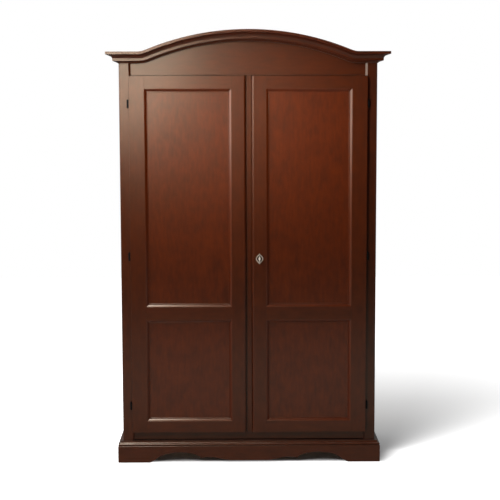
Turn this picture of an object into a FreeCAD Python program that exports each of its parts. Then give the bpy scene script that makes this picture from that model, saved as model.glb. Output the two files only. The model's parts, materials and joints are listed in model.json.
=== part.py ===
import FreeCAD, Part
import os
from math import asin, degrees, sqrt

from FreeCAD import Vector

# Arched two-door wardrobe cabinet, in millimetres.
# The origin is the middle of the base on the floor; the doors face -Y and Z is up.

# Carcass
carcass_width = 1270.0
carcass_depth = 560.0
carcass_height = 1996.0
post_width = 58.0
front_post_depth = 58.0
rear_post_depth = 40.0
board_thickness = 22.0
frame_setback = 10.0
side_setback = 4.0
post_arris_radius = 5.0
bottom_rail_height = 60.0
rail_gap = 5.0
rail_slot_depth = 12.0
bottom_rail_drop = 12.0
frieze_height = 80.0

# Joinery
tenon_length = 30.0
tenon_shoulder = 12.0
tenon_share = 1.0 / 3.0
joint_gap = 0.1
panel_thickness = 6.0
panel_recess = 13.0
groove_depth = 10.0
panel_float = 2.0
overrun = 5.0

# How far a quarter circle bows out from its chord, as a share of the chord
quarter_share = (sqrt(2) - 1) / 2

# Cornice, from the top down
cornice_projection = 60.0
fascia_height = 13.0
fascia_return = 2.0
cove_height = 19.0
fillet_projection = 28.0
fillet_height = 12.0
fillet_return = 2.0
bed_height = 11.0
bed_projection = 3.0
cove_hollow_share = 0.16
bed_hollow_share = 0.18
arch_rise = 107.0
arch_shoulder = 153.0
arch_blend_radius = 110.0
cornice_back_thickness = 22.0
top_board_thickness = 18.0

# Frieze and bottom rail
frieze_quirk_height = 6.5
frieze_quirk_depth = 12.0
door_head_gap = 4.5
stop_gap = 0.3
stop_edge_inset = 4.5
side_rail_overlap = 5.0

# Plinth, from the top down
plinth_height = 108.0
plinth_projection = 25.0
ledge_width = 12.0
ledge_edge = 4.0
plinth_cove_height = 8.0
plinth_bead_height = 9.0
plinth_bead_depth = 5.5
plinth_quirk_height = 3.0
plinth_quirk_depth = 4.5
plinth_arris = 2.0
# Lower edge of the front plinth from the foot to the middle: (x, z) in shares of the half
# width and of the height, alternating end points and points that an arc passes through.
plinth_edge_shares = [
    (0.757, 0.0),
    (0.742, 0.045),
    (0.715, 0.140),
    (0.664, 0.340),
    (0.608, 0.435),
    (0.524, 0.485),
    (0.455, 0.440),
    (0.410, 0.378),
    (0.367, 0.215),
    (0.300, 0.255),
    (0.218, 0.180),
    (0.178, 0.130),
    (0.135, 0.095),
]
# The same edge of a side plinth, in shares of half the length between its two feet.
side_edge_shares = [
    (0.90, 0.0),
    (0.86, 0.05),
    (0.82, 0.18),
    (0.72, 0.42),
    (0.56, 0.48),
]
side_foot_length = 115.0
glue_block_size = 38.0

# Floor, shelf and hanging rail
floor_thickness = 18.0
hat_space_height = 188.0
shelf_thickness = 20.0
shelf_front_gap = 2.0
shelf_side_gap = 0.3
cleat_thickness = 22.0
cleat_height = 62.0
hanging_rail_radius = 13.0
hanging_rail_drop = 37.0
hanging_rail_end_gap = 1.0
socket_wall = 6.0
socket_depth = 14.0
socket_base = 3.0
socket_gap = 0.3
board_arris = 1.5

# Back
back_rail_height = 80.0
back_rail_inset = 4.0
muntin_width = 70.0

# Doors
door_thickness = 22.0
door_gap = 1.0
door_side_overlap = 9.0
door_end_overlap = 18.0
hinge_stile_width = 74.0
meeting_stile_width = 70.0
door_top_rail = 62.0
door_middle_rail = 63.0
door_bottom_rail = 56.0
lower_opening_height = 517.0
meeting_gap = 30.0
meeting_offset = 2.0
meeting_edge_radius = 10.0
door_arris = 1.5

# Panel mouldings
moulding_width = 18.0
moulding_top_flat = 1.0
moulding_slope_width = 11.5
moulding_slope_foot = 2.0
moulding_bead_width = 4.5
moulding_lip = 0.8
slope_share = 0.06
bead_share = 0.3

# Closing strip between the doors
strip_thickness = 11.0
strip_quirk_width = 7.0
strip_quirk_depth = 6.0
strip_back_inset = 1.0
strip_swing_gap = 2.0
strip_end_inset = 1.0

# Hinges
hinge_inset = 135.0
hinge_axis_gap = 6.0
knuckle_radius = 5.0
knuckle_height = 18.0
knuckle_gap = 0.3
finial_radius = 4.0
pin_radius = 2.5
pin_length = 14.0
pin_clearance = 0.05
pin_end_gap = 1.0
leaf_thickness = 2.5
leaf_depth = 28.0
leaf_end_inset = 2.0

# Door bolts
bolt_width = 10.0
bolt_thickness = 4.0
bolt_length = 96.0
bolt_travel = 12.0
bolt_end_gap = 1.0
bolt_backset = 35.0
bolt_knob_radius = 5.0
bolt_knob_length = 7.0
case_plate_width = 28.0
case_plate_thickness = 1.5
case_strap_height = 12.0
case_strap_wall = 2.0
case_stand_off = 1.0
keeper_thickness = 1.5
sliding_gap = 0.3

# Lock, key and escutcheon
lock_height = 860.0
lock_backset = 37.0
lock_case_width = 60.0
lock_case_height = 62.0
lock_case_depth = 14.0
lock_case_wall = 1.5
lock_edge_inset = 2.0
lock_bolt_length = 42.0
lock_bolt_height = 10.0
lock_bolt_thickness = 8.0
lock_bolt_travel = 9.4
lock_bolt_end_gap = 1.5
key_sweep_gap = 1.5
lock_keeper_wall = 2.0
lock_keeper_edge_inset = 1.0
key_radius = 3.0
key_hole_gap = 0.3
key_bit_length = 9.0
key_bit_width = 6.0
key_bit_thickness = 3.0
key_collar_radius = 4.8
key_collar_length = 3.0
key_neck_length = 4.0
key_bow_length = 22.0
key_bow_height = 27.0
key_bow_thickness = 4.0
key_bow_wire = 4.5
escutcheon_width = 37.0
escutcheon_height = 56.0
escutcheon_field_thickness = 1.2
escutcheon_rim_width = 4.0
escutcheon_rim_height = 3.0
escutcheon_boss_radius = 6.5
escutcheon_boss_height = 3.6
escutcheon_waist_shares = (0.44, 0.6)
escutcheon_tip_hollow_share = -0.08
escutcheon_side_bulge_share = 0.08

# Places worked out from the sizes above
x_side = carcass_width / 2
x_inner = x_side - post_width
total_depth = carcass_depth + cornice_projection
y_front = cornice_projection - total_depth / 2
y_back = total_depth / 2
y_frame = y_front + frame_setback
y_frame_back = y_frame + board_thickness
cornice_seat = y_frame_back - y_front
y_side_front = y_front + front_post_depth
y_side_back = y_back - rear_post_depth
x_frame_out = x_side - side_setback
x_frame_in = x_frame_out - board_thickness
cornice_height = fascia_height + cove_height + fillet_height + bed_height
z_cornice = carcass_height + cornice_height
z_overall = z_cornice + arch_rise
bottom_rail_level = plinth_height + rail_gap
bottom_rail_foot = plinth_height - bottom_rail_drop
floor_level = bottom_rail_level + bottom_rail_height
head_level = carcass_height - frieze_height
shelf_level = head_level - hat_space_height

y_door_back = y_front - door_gap
y_door = y_door_back - door_thickness
y_door_middle = (y_door + y_door_back) / 2
y_panel = y_door + panel_recess
door_bottom = floor_level - door_end_overlap
door_top = head_level + door_end_overlap
door_edge = x_inner + door_side_overlap
left_meeting = meeting_offset - meeting_gap / 2
right_meeting = meeting_offset + meeting_gap / 2
lower_opening = (door_bottom + door_bottom_rail, door_bottom + door_bottom_rail + lower_opening_height)
upper_opening = (lower_opening[1] + door_middle_rail, door_top - door_top_rail)
openings_z = (lower_opening, upper_opening)

y_stop = y_door_back + stop_gap
stop_bottom_level = door_bottom + stop_edge_inset
frieze_level = door_top + door_head_gap
stop_top_level = frieze_level - frieze_quirk_height
y_back_rail = y_back - back_rail_inset - board_thickness
back_bottom_rail_top = bottom_rail_level + back_rail_height

hinge_x = door_edge + hinge_axis_gap
hinge_y = y_door_middle
hinge_levels = (door_bottom + hinge_inset, (door_bottom + door_top) / 2, door_top - hinge_inset)

bolt_x = left_meeting - bolt_backset
bolt_y = y_door_back + case_plate_thickness + case_stand_off
top_bolt_end = head_level - keeper_thickness - bolt_end_gap
bottom_bolt_end = floor_level + keeper_thickness + bolt_end_gap

lock_level = floor_level + lock_height
lock_x = right_meeting + lock_backset
lock_case_x = right_meeting + lock_edge_inset
lock_case_z = lock_level - lock_case_height / 2
lock_bolt_z = lock_level + key_bit_length + key_sweep_gap
lock_bolt_y = y_door_back + (lock_case_depth - lock_bolt_thickness) / 2

UP = Vector(0, 0, 1)
TO_RIGHT = Vector(1, 0, 0)
TO_BACK = Vector(0, 1, 0)
ORIGIN = Vector(0, 0, 0)


def box(x0, x1, y0, y1, z0, z1):
    """A solid between two corners."""
    return Part.makeBox(x1 - x0, y1 - y0, z1 - z0, Vector(x0, y0, z0))


def grown(corners, gap):
    """The corners of a box moved out by a gap on every side."""
    x0, x1, y0, y1, z0, z1 = corners
    return (x0 - gap, x1 + gap, y0 - gap, y1 + gap, z0 - gap, z1 + gap)


def mirrored(shape):
    """The same shape on the other side of the middle."""
    return shape.mirror(ORIGIN, TO_RIGHT)


def bow(start, end, share):
    """The point that an arc from start to end passes through: share of the chord, to its left."""
    run = (end[0] - start[0], end[1] - start[1])
    middle = ((start[0] + end[0]) / 2, (start[1] + end[1]) / 2)
    return (middle[0] - share * run[1], middle[1] + share * run[0])


def outline_face(steps, place):
    """A face inside a closed line of steps. A step is an end point, or a pair: an arc's point and its end."""
    edges = []
    last = place(*steps[0])
    for step in steps[1:] + steps[:1]:
        if isinstance(step[0], tuple):
            end = place(*step[1])
            edges.append(Part.Arc(last, place(*step[0]), end).toShape())
        else:
            end = place(*step)
            if end != last:
                edges.append(Part.makeLine(last, end))
        last = end
    return Part.Face(Part.Wire(edges))


def prism(points, z0, z1):
    """A solid with an outline seen from above."""
    return outline_face(points, lambda x, y: Vector(x, y, z0)).extrude(UP * (z1 - z0))


def eased_board(x0, x1, y0, y1, z0, z1, radius):
    """A board whose long upper front edge is rounded."""
    start = (y0, z1 - radius)
    end = (y0 + radius, z1)
    steps = [(y0, z0), start, (bow(start, end, quarter_share), end), (y1, z1), (y1, z0)]
    return outline_face(steps, lambda y, z: Vector(x0, y, z)).extrude(TO_RIGHT * (x1 - x0))


def tenon_across(x, direction, y_middle, thickness, z0, z1):
    """Corners of a tenon that runs along X from a shoulder at x."""
    ends = sorted((x, x + direction * tenon_length))
    half = thickness * tenon_share / 2
    return (ends[0], ends[1], y_middle - half, y_middle + half, z0 + tenon_shoulder, z1 - tenon_shoulder)


def tenon_along(y, direction, x_middle, thickness, z0, z1):
    """Corners of a tenon that runs along Y from a shoulder at y."""
    ends = sorted((y, y + direction * tenon_length))
    half = thickness * tenon_share / 2
    return (x_middle - half, x_middle + half, ends[0], ends[1], z0 + tenon_shoulder, z1 - tenon_shoulder)


def with_tenons(shape, tenons):
    """A rail with its tenons."""
    for corners in tenons:
        shape = shape.fuse(box(*corners))
    return shape.removeSplitter()


def with_mortises(shape, tenons):
    """A post or stile with a mortise for each tenon, a joint gap larger all round."""
    for corners in tenons:
        shape = shape.cut(box(*grown(corners, joint_gap)))
    return shape


def cut_all(shape, tools):
    """The shape less each of the tools."""
    for tool in tools:
        shape = shape.cut(tool)
    return shape


# Carcass frame
# The right half is worked out and the left half is its mirror image.

frieze_tenon = tenon_across(
    x_inner, 1, (y_frame + y_frame_back) / 2, board_thickness, head_level, carcass_height
)
bottom_rail_tenon = tenon_across(
    x_inner, 1, (y_frame + y_frame_back) / 2, board_thickness, bottom_rail_level, floor_level
)
back_rail_middle = y_back_rail + board_thickness / 2
back_rails_z = (
    (bottom_rail_level, back_bottom_rail_top),
    (carcass_height - back_rail_height, carcass_height),
)
back_tenons = [
    tenon_across(x_inner, 1, back_rail_middle, board_thickness, low, high) for low, high in back_rails_z
]

# Side rails: their gaps are at the same levels as the panels of the doors.
side_rails_z = {
    "bottom": (plinth_height - side_rail_overlap, lower_opening[0]),
    "middle": (lower_opening[1], upper_opening[0]),
    "top": (upper_opening[1], carcass_height),
}
x_frame_middle = (x_frame_out + x_frame_in) / 2


def side_tenons(direction):
    """The tenons of the right side rails at the front (-1) or at the back (1)."""
    y = y_side_front if direction < 0 else y_side_back
    return [
        tenon_along(y, direction, x_frame_middle, board_thickness, low, high)
        for low, high in side_rails_z.values()
    ]


x_side_panel_out = x_frame_out - panel_recess
x_side_panel_in = x_side_panel_out - panel_thickness


def side_groove(y0, y1, opening):
    """The groove that takes the edge of a side panel, all round its opening."""
    low, high = opening
    return box(x_side_panel_in, x_side_panel_out, y0, y1, low - groove_depth, high + groove_depth)


side_grooves = [side_groove(y_side_front - groove_depth, y_side_back + groove_depth, o) for o in openings_z]
y_back_panel = back_rail_middle - panel_thickness / 2
back_opening = (back_bottom_rail_top, carcass_height - back_rail_height)


def back_groove(x0, x1):
    """The groove that takes the edge of a back panel."""
    return box(
        x0 - groove_depth,
        x1 + groove_depth,
        y_back_panel,
        y_back_panel + panel_thickness,
        back_opening[0] - groove_depth,
        back_opening[1] + groove_depth,
    )


def front_post():
    """Right front post: chamfered beside the doors and rounded on the outer corner."""
    r = post_arris_radius
    corner = (x_side, y_front + r)
    start = (x_side - r, y_front)
    points = [
        (x_inner, y_side_front),
        (x_inner, y_frame),
        (x_inner + frame_setback, y_front),
        start,
        (bow(start, corner, -quarter_share), corner),
        (x_side, y_side_front),
    ]
    post = prism(points, 0, carcass_height)
    post = with_mortises(post, [frieze_tenon, bottom_rail_tenon] + side_tenons(-1))
    post = cut_all(post, side_grooves)
    leaves = [post_leaf(level) for level in hinge_levels]
    return with_mortises(post, leaves)


def rear_post():
    """Right rear post, square, with the mortises of the side and back rails."""
    post = box(x_inner, x_side, y_side_back, y_back, 0, carcass_height)
    post = with_mortises(post, back_tenons + side_tenons(1))
    return cut_all(post, side_grooves + [back_groove(muntin_width / 2, x_inner)])


def side_rail(name):
    """One right side rail with a tenon at each end."""
    low, high = side_rails_z[name]
    rail = box(x_frame_in, x_frame_out, y_side_front, y_side_back, low, high)
    tenons = [
        tenon_along(y_side_front, -1, x_frame_middle, board_thickness, low, high),
        tenon_along(y_side_back, 1, x_frame_middle, board_thickness, low, high),
    ]
    return cut_all(with_tenons(rail, tenons), side_grooves)


def side_panels():
    """The lower and upper panel of the right side, loose in their grooves."""
    reach = groove_depth - panel_float
    return Part.makeCompound(
        [
            box(
                x_side_panel_in,
                x_side_panel_out,
                y_side_front - reach,
                y_side_back + reach,
                low - reach,
                high + reach,
            )
            for low, high in openings_z
        ]
    )


# Cornice
# The top line is flat at the shoulders and rises in a shallow arch. Each level of the
# moulding is parallel to that line, so the arch keeps one centre and each blend another.

arch_x = x_side + cornice_projection - arch_shoulder
arch_radius = (arch_x**2 / arch_rise + arch_rise) / 2 - arch_blend_radius
arch_centre = Vector(0, 0, z_overall - arch_radius)
blend_centre = Vector(arch_x, 0, z_cornice + arch_blend_radius)
arch_angle = degrees(asin(arch_x / (arch_radius + arch_blend_radius)))


def cornice_section():
    """The section: how far it stands out, and how far below the top."""
    fascia = (cornice_projection, fascia_height)
    cove = (cornice_projection - fascia_return, fascia_height)
    fillet = (fillet_projection, fascia_height + cove_height)
    fillet_end = (fillet_projection, fascia_height + cove_height + fillet_height)
    bed = (fillet_projection - fillet_return, fillet_end[1])
    foot = (bed_projection, cornice_height)
    return [
        (-cornice_seat, 0),
        (cornice_projection, 0),
        fascia,
        cove,
        (bow(cove, fillet, cove_hollow_share), fillet),
        fillet_end,
        bed,
        (bow(bed, foot, bed_hollow_share), foot),
        (-cornice_seat, cornice_height),
    ]


def arched(make_face):
    """A section swept along the whole top line. make_face(x, z) gives it under a point of that line."""
    arch = make_face(0, z_overall).revolve(arch_centre, TO_BACK, arch_angle)
    blend = make_face(arch_x, z_cornice).revolve(blend_centre, TO_BACK, arch_angle)
    flat = make_face(arch_x, z_cornice).extrude(TO_RIGHT * (x_side + cornice_projection - arch_x))
    half = arch.fuse([blend, flat])
    return half.fuse(mirrored(half)).removeSplitter()


def front_mitre(inset, reach):
    """Outline, seen from above, of a front piece mitred at both ends."""
    y_in = y_front + inset
    y_out = y_front - reach
    return [
        (inset - x_side, y_in),
        (x_side - inset, y_in),
        (x_side + reach, y_out),
        (-x_side - reach, y_out),
    ]


def return_mitre(inset, reach):
    """Outline, seen from above, of the right return mitred at its front end."""
    return [
        (x_side - inset, y_front + inset),
        (x_side + reach, y_front - reach),
        (x_side + reach, y_back),
        (x_side - inset, y_back),
    ]


def cornice_front():
    """The arched front of the cornice."""

    def section(x, z):
        return outline_face(cornice_section(), lambda p, drop: Vector(x, y_front - p, z - drop))

    ends = prism(front_mitre(cornice_seat, cornice_projection), carcass_height, z_overall + overrun)
    return arched(section).common(ends)


def cornice_return():
    """The right return of the cornice."""
    face = outline_face(
        cornice_section(), lambda p, drop: Vector(x_side + p, y_front - cornice_projection, z_cornice - drop)
    )
    run = face.extrude(TO_BACK * (y_back - y_front + cornice_projection))
    return run.common(prism(return_mitre(cornice_seat, cornice_projection), carcass_height, z_cornice))


def cornice_back():
    """The plain board that closes the cornice at the back."""
    inner = x_side - cornice_seat
    return box(-inner, inner, y_back - cornice_back_thickness, y_back, carcass_height, z_cornice)


def frieze_board():
    """The board over the doors: arched under the cornice, with the doors' stop along its lower edge."""
    sheet = arch_sheet(y_frame, y_frame_back, head_level)
    quirk = box(
        -x_inner,
        x_inner,
        y_frame - overrun,
        y_frame + frieze_quirk_depth,
        stop_top_level,
        frieze_level,
    )
    stop = box(-x_inner, x_inner, y_stop, y_frame, head_level, stop_top_level)
    board = sheet.cut(quirk).fuse(stop).removeSplitter()
    board = with_tenons(board, [frieze_tenon, mirror_corners(frieze_tenon)])
    return board.cut(box(*bolt_slot(head_level - overrun, top_bolt_end + bolt_travel + bolt_end_gap)))


def mirror_corners(corners):
    """The corners of a box on the other side of the middle."""
    x0, x1, y0, y1, z0, z1 = corners
    return (-x1, -x0, y0, y1, z0, z1)


def arch_sheet(y0, y1, z0):
    """A flat board between the posts from z0 up to the underside of the cornice."""
    radius = arch_radius - cornice_height
    meet_x = arch_x - arch_x * (arch_blend_radius + cornice_height) / (arch_radius + arch_blend_radius)
    meet_z = arch_centre.z + sqrt(radius**2 - meet_x**2)
    crest = (0, z_overall - cornice_height)
    blend_low = (arch_x, carcass_height)
    blend_radius = arch_blend_radius + cornice_height
    blend_middle_x = arch_x - (arch_x - meet_x) / 2
    blend_middle = (blend_middle_x, blend_centre.z - sqrt(blend_radius**2 - (arch_x - blend_middle_x) ** 2))
    meet = (meet_x, meet_z)

    def left(point):
        return (-point[0], point[1])

    steps = [
        (-x_inner, z0),
        (x_inner, z0),
        (x_inner, carcass_height),
        blend_low,
        (blend_middle, meet),
        (crest, left(meet)),
        (left(blend_middle), left(blend_low)),
        (-x_inner, carcass_height),
    ]
    return outline_face(steps, lambda x, z: Vector(x, y0, z)).extrude(TO_BACK * (y1 - y0))


def bolt_slot(z0, z1):
    """Corners of the slot that a door bolt shoots into."""
    half = bolt_width / 2 + sliding_gap
    return (
        bolt_x - half,
        bolt_x + half,
        bolt_y - sliding_gap,
        bolt_y + bolt_thickness + sliding_gap,
        z0,
        z1,
    )


def bottom_rail():
    """The rail under the doors: their stop along its upper edge, and a slot over the plinth."""
    rail = box(-x_inner, x_inner, y_frame, y_frame_back, bottom_rail_foot, floor_level)
    y_slot = y_frame + rail_slot_depth
    rail = rail.cut(box(-x_inner, x_inner, y_frame - overrun, y_slot, plinth_height, bottom_rail_level))
    stop = box(-x_inner, x_inner, y_stop, y_frame, stop_bottom_level, floor_level)
    rail = with_tenons(rail.fuse(stop), [bottom_rail_tenon, mirror_corners(bottom_rail_tenon)])
    return rail.cut(box(*bolt_slot(bottom_bolt_end - bolt_travel - bolt_end_gap, floor_level + overrun)))


# Plinth


def plinth_section():
    """The section: how far it stands out, and its height."""
    cove_top = plinth_height - ledge_edge
    bead_top = cove_top - plinth_cove_height
    bead_bottom = bead_top - plinth_bead_height
    face_top = bead_bottom - plinth_quirk_height
    root = plinth_projection - plinth_bead_depth
    shoulder = (ledge_width, cove_top)
    bead = (root, bead_top)
    bead_end = (root, bead_bottom)
    quirk = (plinth_projection - plinth_quirk_depth, face_top)
    arris_top = (plinth_projection - plinth_arris, face_top)
    arris = (plinth_projection, face_top - plinth_arris)
    return [
        (0, 0),
        (0, plinth_height),
        (ledge_width, plinth_height),
        shoulder,
        (bow(shoulder, bead, -cove_hollow_share), bead),
        (bow(bead, bead_end, 1 / 2), bead_end),
        quirk,
        arris_top,
        (bow(arris_top, arris, quarter_share), arris),
        (plinth_projection, 0),
    ]


def edge_cut(shares, length, height, place, direction):
    """The shape cut out under a plinth board, symmetrical about its middle."""
    points = [(share_x * length, share_z * height) for share_x, share_z in shares]
    other = [(-x, z) for x, z in reversed(points)]
    below = -overrun
    steps = [(points[0][0], below), points[0]]
    steps += [(points[i], points[i + 1]) for i in range(1, len(points) - 1, 2)]
    steps.append(other[0])
    steps += [(other[i], other[i + 1]) for i in range(1, len(other) - 1, 2)]
    steps.append((other[-1][0], below))
    return outline_face(steps, place).extrude(direction)


def plinth_front():
    """The scalloped front of the plinth."""
    reach = x_side + plinth_projection
    face = outline_face(plinth_section(), lambda p, z: Vector(-reach, y_front - p, z))
    run = face.extrude(TO_RIGHT * (2 * reach))
    run = run.common(prism(front_mitre(0, plinth_projection), 0, plinth_height))
    start = y_front - plinth_projection - overrun
    depth = plinth_projection + 2 * overrun
    cut = edge_cut(
        plinth_edge_shares,
        reach,
        plinth_height,
        lambda x, z: Vector(x, start, z),
        TO_BACK * depth,
    )
    return run.cut(cut)


def plinth_return():
    """The right side of the plinth."""
    start = y_front - plinth_projection
    face = outline_face(plinth_section(), lambda p, z: Vector(x_side + p, start, z))
    run = face.extrude(TO_BACK * (y_back - start))
    run = run.common(prism(return_mitre(0, plinth_projection), 0, plinth_height))
    half = (y_back - start) / 2 - side_foot_length
    middle = (y_back + start) / 2
    x_cut = x_side - overrun
    cut = edge_cut(
        side_edge_shares,
        half / side_edge_shares[0][0],
        plinth_height,
        lambda y, z: Vector(x_cut, middle + y, z),
        TO_RIGHT * (plinth_projection + 2 * overrun),
    )
    return run.cut(cut)


def glue_blocks():
    """Blocks under the bottom rail, between the posts and the front plinth, and at the back rail."""
    size = glue_block_size
    top = bottom_rail_foot
    front = box(x_inner - size, x_inner, y_front, y_front + size, top - size, top)
    low = bottom_rail_level
    back = box(x_inner - size, x_inner, y_back_rail - size, y_back_rail, low, low + size)
    return Part.makeCompound([front, mirrored(front), back, mirrored(back)])


# Boards


def top_board():
    """The dust board inside the cornice."""
    inner = x_side - cornice_seat
    y1 = y_back - cornice_back_thickness
    return box(-inner, inner, y_frame_back, y1, carcass_height, carcass_height + top_board_thickness)


def floor_board():
    """The floor, notched round the four posts."""
    z0 = floor_level - floor_thickness
    wide = box(-x_frame_in, x_frame_in, y_side_front, y_side_back, z0, floor_level)
    narrow = box(-x_inner, x_inner, y_frame_back, y_back_rail, z0, floor_level)
    return wide.fuse(narrow).removeSplitter()


def hat_shelf():
    """The shelf over the hanging rail."""
    half = x_frame_in - shelf_side_gap
    return eased_board(
        -half,
        half,
        y_side_front + shelf_front_gap,
        y_side_back - shelf_front_gap,
        shelf_level - shelf_thickness,
        shelf_level,
        board_arris,
    )


cleat_top = shelf_level - shelf_thickness
cleat_face = x_frame_in - cleat_thickness


def shelf_cleats():
    """The bearers between the front and rear posts that carry the shelf and the hanging rail."""
    cleat = box(cleat_face, x_frame_in, y_side_front, y_side_back, cleat_top - cleat_height, cleat_top)
    return Part.makeCompound([cleat, mirrored(cleat)])


rail_y = (y_side_front + y_side_back) / 2
rail_z = cleat_top - hanging_rail_drop


def hanging_rail():
    """The round rail for hangers."""
    half = cleat_face - socket_base - hanging_rail_end_gap
    return Part.makeCylinder(hanging_rail_radius, 2 * half, Vector(-half, rail_y, rail_z), TO_RIGHT)


def rail_sockets():
    """The cups on the cleats that hold the ends of the rail."""
    outer = hanging_rail_radius + socket_gap + socket_wall
    start = Vector(cleat_face - socket_depth, rail_y, rail_z)
    cup = Part.makeCylinder(outer, socket_depth, start, TO_RIGHT)
    bore = Part.makeCylinder(hanging_rail_radius + socket_gap, socket_depth - socket_base, start, TO_RIGHT)
    cup = cup.cut(bore)
    return Part.makeCompound([cup, mirrored(cup)])


# Back frame

muntin_half = muntin_width / 2


def muntin_tenons():
    """The upright tenons of the muntin, at the bottom and at the top."""
    half = board_thickness * tenon_share / 2
    side = muntin_half - tenon_shoulder
    y0 = back_rail_middle - half
    y1 = back_rail_middle + half
    low, high = back_opening
    return [
        (-side, side, y0, y1, low - tenon_length, low),
        (-side, side, y0, y1, high, high + tenon_length),
    ]


def back_grooves():
    """Grooves of both back panels."""
    return [back_groove(muntin_half, x_inner), back_groove(-x_inner, -muntin_half)]


def back_rail(index):
    """The bottom (0) or top (1) rail of the back."""
    low, high = back_rails_z[index]
    rail = box(-x_inner, x_inner, y_back_rail, y_back_rail + board_thickness, low, high)
    tenon = back_tenons[index]
    rail = with_tenons(rail, [tenon, mirror_corners(tenon)])
    return with_mortises(cut_all(rail, back_grooves()), [muntin_tenons()[index]])


def back_muntin():
    """The upright in the middle of the back."""
    low, high = back_opening
    muntin = box(-muntin_half, muntin_half, y_back_rail, y_back_rail + board_thickness, low, high)
    return cut_all(with_tenons(muntin, muntin_tenons()), back_grooves())


def back_panels():
    """The two back panels."""
    reach = groove_depth - panel_float
    panel = box(
        muntin_half - reach,
        x_inner + reach,
        y_back_panel,
        y_back_panel + panel_thickness,
        back_opening[0] - reach,
        back_opening[1] + reach,
    )
    return Part.makeCompound([panel, mirrored(panel)])


# Hinges


def post_leaf(level):
    """Corners of the leaf let into the right post."""
    half = leaf_thickness / 2
    top = level - knuckle_gap / 2 - leaf_end_inset
    low = level - knuckle_height + leaf_end_inset
    return (hinge_x - half, hinge_x + half, hinge_y, y_front + leaf_depth, low, top)


def door_leaf(level):
    """Corners of the leaf let into the edge of the right door."""
    half = leaf_thickness / 2
    low = level + knuckle_gap / 2 + leaf_end_inset
    top = level + knuckle_height - leaf_end_inset
    return (door_edge - leaf_depth, hinge_x, hinge_y - half, hinge_y + half, low, top)


def hinge_post_half(level):
    """Lower knuckle with its pin, finial and leaf."""
    foot = Vector(hinge_x, hinge_y, level - knuckle_height)
    height = knuckle_height - knuckle_gap / 2
    knuckle = Part.makeCylinder(knuckle_radius, height, foot)
    pin = Part.makeCylinder(pin_radius, height + pin_length, foot)
    finial = Part.makeSphere(finial_radius, foot)
    return knuckle.fuse([pin, finial, box(*post_leaf(level))]).removeSplitter()


def hinge_door_half(level):
    """Upper knuckle, bored for the pin, with its finial and leaf."""
    foot = Vector(hinge_x, hinge_y, level + knuckle_gap / 2)
    height = knuckle_height - knuckle_gap / 2
    knuckle = Part.makeCylinder(knuckle_radius, height, foot)
    finial = Part.makeSphere(finial_radius, foot + UP * height)
    half = knuckle.fuse([finial, box(*door_leaf(level))]).removeSplitter()
    bore_depth = pin_length + pin_end_gap
    return half.cut(Part.makeCylinder(pin_radius + pin_clearance, bore_depth, foot))


def hinge_post_halves():
    """All six lower halves, which belong to the posts."""
    right = [hinge_post_half(level) for level in hinge_levels]
    return Part.makeCompound(right + [mirrored(half) for half in right])


def hinge_door_halves(side):
    """The three upper halves of one door: side is 1 for the right and -1 for the left."""
    halves = [hinge_door_half(level) for level in hinge_levels]
    return Part.makeCompound(halves if side > 0 else [mirrored(half) for half in halves])


# Doors
# Each door is worked out from its own edges. The hinge edge is on the outside.


def opening_x(side):
    """Left and right limits of a door's panel openings."""
    if side > 0:
        return (right_meeting + meeting_stile_width, door_edge - hinge_stile_width)
    return (hinge_stile_width - door_edge, left_meeting - meeting_stile_width)


door_rails_z = {
    "bottom": (door_bottom, lower_opening[0]),
    "middle": (lower_opening[1], upper_opening[0]),
    "top": (upper_opening[1], door_top),
}


def door_tenons(x, direction):
    """Tenons of the three door rails at a shoulder."""
    return [
        tenon_across(x, direction, y_door_middle, door_thickness, low, high)
        for low, high in door_rails_z.values()
    ]


def door_grooves(side):
    """Grooves that take the edges of a door's two panels."""
    x0, x1 = opening_x(side)
    return [
        box(
            x0 - groove_depth,
            x1 + groove_depth,
            y_panel,
            y_panel + panel_thickness,
            low - groove_depth,
            high + groove_depth,
        )
        for low, high in openings_z
    ]


def stile(x_square, x_round, radius):
    """An upright door member, square beside the panels and rounded at its outer front edge."""
    direction = 1 if x_round > x_square else -1
    start = (x_round - direction * radius, y_door)
    end = (x_round, y_door + radius)
    points = [
        (x_square, y_door_back),
        (x_square, y_door),
        start,
        (bow(start, end, -direction * quarter_share), end),
        (x_round, y_door_back),
    ]
    return prism(points, door_bottom, door_top)


def hinge_stile(side):
    """The stile that carries the hinges."""
    inner = door_edge - hinge_stile_width
    body = stile(inner, door_edge, door_arris)
    body = with_mortises(body, [door_leaf(level) for level in hinge_levels])
    if side < 0:
        body = mirrored(body)
    body = with_mortises(body, door_tenons(side * inner, side))
    return cut_all(body, door_grooves(side))


def meeting_stile(side):
    """The stile at the middle of the cabinet. The right one has the keyhole."""
    edge = right_meeting if side > 0 else left_meeting
    shoulder = edge + side * meeting_stile_width
    body = stile(shoulder, edge, meeting_edge_radius)
    if side > 0:
        body = body.cut(keyhole(y_door - overrun, y_door_back + overrun))
    body = with_mortises(body, door_tenons(shoulder, -side))
    return cut_all(body, door_grooves(side))


def door_rail(side, name):
    """A door rail with a tenon at each end."""
    x0, x1 = opening_x(side)
    low, high = door_rails_z[name]
    rail = box(x0, x1, y_door, y_door_back, low, high)
    tenons = [
        tenon_across(x0, -1, y_door_middle, door_thickness, low, high),
        tenon_across(x1, 1, y_door_middle, door_thickness, low, high),
    ]
    return cut_all(with_tenons(rail, tenons), door_grooves(side))


def door_panels(side):
    """The lower and upper panel of a door, loose in their grooves."""
    x0, x1 = opening_x(side)
    reach = groove_depth - panel_float
    return Part.makeCompound(
        [
            box(x0 - reach, x1 + reach, y_panel, y_panel + panel_thickness, low - reach, high + reach)
            for low, high in openings_z
        ]
    )


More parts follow.
